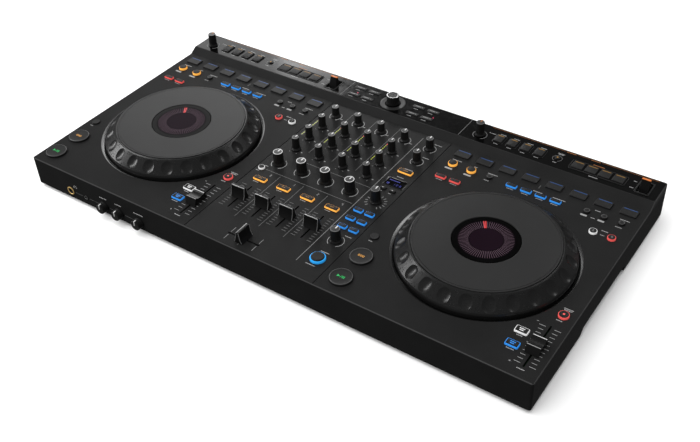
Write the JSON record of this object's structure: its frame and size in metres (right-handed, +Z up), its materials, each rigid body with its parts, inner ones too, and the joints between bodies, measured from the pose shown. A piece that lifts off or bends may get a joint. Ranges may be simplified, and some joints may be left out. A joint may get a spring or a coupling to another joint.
{
  "type": "dj controller",
  "caption": "Two-deck four-channel DJ controller with jog wheels, faders, knobs, pads and lit buttons in a flat case with a raised rear strip.",
  "frame": {"origin": "under the middle of the whole object, on the surface it stands on", "axes": "+X to the right deck, +Y to the back sockets, +Z up"},
  "size_m": [0.736, 0.393, 0.074],
  "materials": {
    "case": "fine texture",
    "cover": "textured",
    "mixer": "fine texture",
    "inlay": "gloss",
    "board": "solder resist",
    "spindle": "plain",
    "screen": "gloss lens",
    "bracket": "plain",
    "jack": "polished",
    "socket": "plated",
    "foot": "matte",
    "screw": "black zinc",
    "jog_rim": "satin",
    "jog_plate": "satin",
    "fader": "satin",
    "tempo_cap": "satin",
    "lever": "satin",
    "button": "satin",
    "pad": "matte",
    "knob": "satin"
  },
  "bodies": {
    "case": {"top_case": "case", "bottom_cover": "cover", "mixer_panel": "mixer", "console_inlay": "inlay", "circuit_boards": "board", "jog_spindles": "spindle", "displays": "screen", "lever_brackets": "bracket", "front_jacks": "jack", "rear_sockets": "socket", "rubber_feet": "foot", "case_screws": "screw"},
    "jog_left": {"jog_rim_left": "jog_rim", "jog_plate_left": "jog_plate"},
    "jog_right": {"jog_rim_right": "jog_rim", "jog_plate_right": "jog_plate"},
    "crossfader": {"crossfader": "fader"},
    "channel_fader_1": {"channel_fader_1": "fader"},
    "channel_fader_2": {"channel_fader_2": "fader"},
    "channel_fader_3": {"channel_fader_3": "fader"},
    "channel_fader_4": {"channel_fader_4": "fader"},
    "tempo_fader_left": {"tempo_fader_left": "tempo_cap"},
    "tempo_fader_right": {"tempo_fader_right": "tempo_cap"},
    "effect_lever_left": {"effect_lever_left": "lever"},
    "effect_lever_right": {"effect_lever_right": "lever"},
    "play_and_cue_buttons": {"play_and_cue_buttons": "button"},
    "performance_pads": {"performance_pads": "pad"},
    "deck_buttons": {"deck_buttons": "button"},
    "mixer_buttons": {"mixer_buttons": "button"},
    "console_buttons": {"console_buttons": "button"},
    "browse_knob": {"browse_knob": "knob"},
    "groove_knob_left": {"groove_knob_left": "knob"},
    "groove_knob_right": {"groove_knob_right": "knob"},
    "fx_select": {"fx_select": "knob"},
    "master_level": {"master_level": "knob"},
    "headphone_level": {"headphone_level": "knob"},
    "headphone_mix": {"headphone_mix": "knob"},
    "mic_level": {"mic_level": "knob"},
    "booth_level": {"booth_level": "knob"},
    "fx_level": {"fx_level": "knob"},
    "channel_fx_1": {"channel_fx_1": "knob"},
    "channel_fx_2": {"channel_fx_2": "knob"},
    "channel_fx_3": {"channel_fx_3": "knob"},
    "channel_fx_4": {"channel_fx_4": "knob"},
    "trim_1": {"trim_1": "knob"},
    "trim_2": {"trim_2": "knob"},
    "trim_3": {"trim_3": "knob"},
    "trim_4": {"trim_4": "knob"},
    "eq_high_1": {"eq_high_1": "knob"},
    "eq_high_2": {"eq_high_2": "knob"},
    "eq_high_3": {"eq_high_3": "knob"},
    "eq_high_4": {"eq_high_4": "knob"},
    "eq_mid_1": {"eq_mid_1": "knob"},
    "eq_mid_2": {"eq_mid_2": "knob"},
    "eq_mid_3": {"eq_mid_3": "knob"},
    "eq_mid_4": {"eq_mid_4": "knob"},
    "eq_low_1": {"eq_low_1": "knob"},
    "eq_low_2": {"eq_low_2": "knob"},
    "eq_low_3": {"eq_low_3": "knob"},
    "eq_low_4": {"eq_low_4": "knob"}
  },
  "joints": [
    {"name": "jog_left_turn", "type": "hinge", "parent": "case", "child": "jog_left", "pos_m": [-0.2317, -0.0371, 0.05], "axis": [0, 0, -1], "continuous": true},
    {"name": "jog_right_turn", "type": "hinge", "parent": "case", "child": "jog_right", "pos_m": [0.2342, -0.0371, 0.05], "axis": [0, 0, -1], "continuous": true},
    {"name": "crossfader_slide", "type": "slide", "parent": "case", "child": "crossfader", "axis": [1, 0, 0], "range_m": [-0.0225, 0.0225]},
    {"name": "channel_fader_1_slide", "type": "slide", "parent": "case", "child": "channel_fader_1", "axis": [0, 1, 0], "range_m": [-0.0225, 0.0225]},
    {"name": "channel_fader_2_slide", "type": "slide", "parent": "case", "child": "channel_fader_2", "axis": [0, 1, 0], "range_m": [-0.0225, 0.0225]},
    {"name": "channel_fader_3_slide", "type": "slide", "parent": "case", "child": "channel_fader_3", "axis": [0, 1, 0], "range_m": [-0.0225, 0.0225]},
    {"name": "channel_fader_4_slide", "type": "slide", "parent": "case", "child": "channel_fader_4", "axis": [0, 1, 0], "range_m": [-0.0225, 0.0225]},
    {"name": "tempo_fader_left_slide", "type": "slide", "parent": "case", "child": "tempo_fader_left", "axis": [0, 1, 0], "range_m": [-0.0268, 0.0332]},
    {"name": "tempo_fader_right_slide", "type": "slide", "parent": "case", "child": "tempo_fader_right", "axis": [0, 1, 0], "range_m": [-0.0268, 0.0332]},
    {"name": "effect_lever_left_tilt", "type": "hinge", "parent": "case", "child": "effect_lever_left", "pos_m": [-0.1189, 0.163, 0.048], "axis": [1, 0, 0], "range_deg": [-18, 18], "stiffness_Nm_per_rad": 0.02},
    {"name": "effect_lever_right_tilt", "type": "hinge", "parent": "case", "child": "effect_lever_right", "pos_m": [0.347, 0.163, 0.048], "axis": [1, 0, 0], "range_deg": [-18, 18], "stiffness_Nm_per_rad": 0.02},
    {"name": "play_and_cue_buttons_press", "type": "slide", "parent": "case", "child": "play_and_cue_buttons", "axis": [0, 0, -1], "range_m": [0, 0.001], "stiffness_N_per_m": 1500, "springref_m": -0.001},
    {"name": "performance_pads_press", "type": "slide", "parent": "case", "child": "performance_pads", "axis": [0, 0, -1], "range_m": [0, 0.001], "stiffness_N_per_m": 1500, "springref_m": -0.001},
    {"name": "deck_buttons_press", "type": "slide", "parent": "case", "child": "deck_buttons", "axis": [0, 0, -1], "range_m": [0, 0.001], "stiffness_N_per_m": 1500, "springref_m": -0.001},
    {"name": "mixer_buttons_press", "type": "slide", "parent": "case", "child": "mixer_buttons", "axis": [0, 0, -1], "range_m": [0, 0.001], "stiffness_N_per_m": 1500, "springref_m": -0.001},
    {"name": "console_buttons_press", "type": "slide", "parent": "case", "child": "console_buttons", "axis": [0, 0, -1], "range_m": [0, 0.001], "stiffness_N_per_m": 1500, "springref_m": -0.001},
    {"name": "browse_knob_turn", "type": "hinge", "parent": "case", "child": "browse_knob", "pos_m": [-0.0191, 0.165, 0.06], "axis": [0, 0, -1], "continuous": true},
    {"name": "groove_knob_left_turn", "type": "hinge", "parent": "case", "child": "groove_knob_left", "pos_m": [-0.345, 0.16, 0.06], "axis": [0, 0, -1], "range_deg": [-150, 150]},
    {"name": "groove_knob_right_turn", "type": "hinge", "parent": "case", "child": "groove_knob_right", "pos_m": [0.1209, 0.16, 0.06], "axis": [0, 0, -1], "range_deg": [-150, 150]},
    {"name": "fx_select_turn", "type": "hinge", "parent": "case", "child": "fx_select", "pos_m": [0.076, -0.0258, 0.055], "axis": [0, 0, -1], "range_deg": [-150, 150]},
    {"name": "master_level_turn", "type": "hinge", "parent": "case", "child": "master_level", "pos_m": [0.076, 0.105, 0.055], "axis": [0, 0, -1], "range_deg": [-150, 150]},
    {"name": "headphone_level_turn", "type": "hinge", "parent": "case", "child": "headphone_level", "pos_m": [-0.1775, -0.19, 0.0174], "axis": [0, 1, 0], "range_deg": [-150, 150]},
    {"name": "headphone_mix_turn", "type": "hinge", "parent": "case", "child": "headphone_mix", "pos_m": [-0.213, -0.19, 0.0174], "axis": [0, 1, 0], "range_deg": [-150, 150]},
    {"name": "mic_level_turn", "type": "hinge", "parent": "case", "child": "mic_level", "pos_m": [-0.24, -0.19, 0.0174], "axis": [0, 1, 0], "range_deg": [-150, 150]},
    {"name": "booth_level_turn", "type": "hinge", "parent": "case", "child": "booth_level", "pos_m": [0.076, 0.072, 0.055], "axis": [0, 0, -1], "range_deg": [-150, 150]},
    {"name": "fx_level_turn", "type": "hinge", "parent": "case", "child": "fx_level", "pos_m": [0.076, -0.1123, 0.055], "axis": [0, 0, -1], "range_deg": [-150, 150]},
    {"name": "channel_fx_1_turn", "type": "hinge", "parent": "case", "child": "channel_fx_1", "pos_m": [-0.0752, -0.0255, 0.055], "axis": [0, 0, -1], "range_deg": [-150, 150]},
    {"name": "channel_fx_2_turn", "type": "hinge", "parent": "case", "child": "channel_fx_2", "pos_m": [-0.0377, -0.0255, 0.055], "axis": [0, 0, -1], "range_deg": [-150, 150]},
    {"name": "channel_fx_3_turn", "type": "hinge", "parent": "case", "child": "channel_fx_3", "pos_m": [-0.0003, -0.0255, 0.055], "axis": [0, 0, -1], "range_deg": [-150, 150]},
    {"name": "channel_fx_4_turn", "type": "hinge", "parent": "case", "child": "channel_fx_4", "pos_m": [0.0371, -0.0255, 0.055], "axis": [0, 0, -1], "range_deg": [-150, 150]},
    {"name": "trim_1_turn", "type": "hinge", "parent": "case", "child": "trim_1", "pos_m": [-0.0752, 0.105, 0.055], "axis": [0, 0, -1], "range_deg": [-150, 150]},
    {"name": "trim_2_turn", "type": "hinge", "parent": "case", "child": "trim_2", "pos_m": [-0.0377, 0.105, 0.055], "axis": [0, 0, -1], "range_deg": [-150, 150]},
    {"name": "trim_3_turn", "type": "hinge", "parent": "case", "child": "trim_3", "pos_m": [-0.0003, 0.105, 0.055], "axis": [0, 0, -1], "range_deg": [-150, 150]},
    {"name": "trim_4_turn", "type": "hinge", "parent": "case", "child": "trim_4", "pos_m": [0.0371, 0.105, 0.055], "axis": [0, 0, -1], "range_deg": [-150, 150]},
    {"name": "eq_high_1_turn", "type": "hinge", "parent": "case", "child": "eq_high_1", "pos_m": [-0.0752, 0.0727, 0.055], "axis": [0, 0, -1], "range_deg": [-150, 150]},
    {"name": "eq_high_2_turn", "type": "hinge", "parent": "case", "child": "eq_high_2", "pos_m": [-0.0377, 0.0727, 0.055], "axis": [0, 0, -1], "range_deg": [-150, 150]},
    {"name": "eq_high_3_turn", "type": "hinge", "parent": "case", "child": "eq_high_3", "pos_m": [-0.0003, 0.0727, 0.055], "axis": [0, 0, -1], "range_deg": [-150, 150]},
    {"name": "eq_high_4_turn", "type": "hinge", "parent": "case", "child": "eq_high_4", "pos_m": [0.0371, 0.0727, 0.055], "axis": [0, 0, -1], "range_deg": [-150, 150]},
    {"name": "eq_mid_1_turn", "type": "hinge", "parent": "case", "child": "eq_mid_1", "pos_m": [-0.0752, 0.0423, 0.055], "axis": [0, 0, -1], "range_deg": [-150, 150]},
    {"name": "eq_mid_2_turn", "type": "hinge", "parent": "case", "child": "eq_mid_2", "pos_m": [-0.0377, 0.0423, 0.055], "axis": [0, 0, -1], "range_deg": [-150, 150]},
    {"name": "eq_mid_3_turn", "type": "hinge", "parent": "case", "child": "eq_mid_3", "pos_m": [-0.0003, 0.0423, 0.055], "axis": [0, 0, -1], "range_deg": [-150, 150]},
    {"name": "eq_mid_4_turn", "type": "hinge", "parent": "case", "child": "eq_mid_4", "pos_m": [0.0371, 0.0423, 0.055], "axis": [0, 0, -1], "range_deg": [-150, 150]},
    {"name": "eq_low_1_turn", "type": "hinge", "parent": "case", "child": "eq_low_1", "pos_m": [-0.0752, 0.0125, 0.055], "axis": [0, 0, -1], "range_deg": [-150, 150]},
    {"name": "eq_low_2_turn", "type": "hinge", "parent": "case", "child": "eq_low_2", "pos_m": [-0.0377, 0.0125, 0.055], "axis": [0, 0, -1], "range_deg": [-150, 150]},
    {"name": "eq_low_3_turn", "type": "hinge", "parent": "case", "child": "eq_low_3", "pos_m": [-0.0003, 0.0125, 0.055], "axis": [0, 0, -1], "range_deg": [-150, 150]},
    {"name": "eq_low_4_turn", "type": "hinge", "parent": "case", "child": "eq_low_4", "pos_m": [0.0371, 0.0125, 0.055], "axis": [0, 0, -1], "range_deg": [-150, 150]}
  ]
}
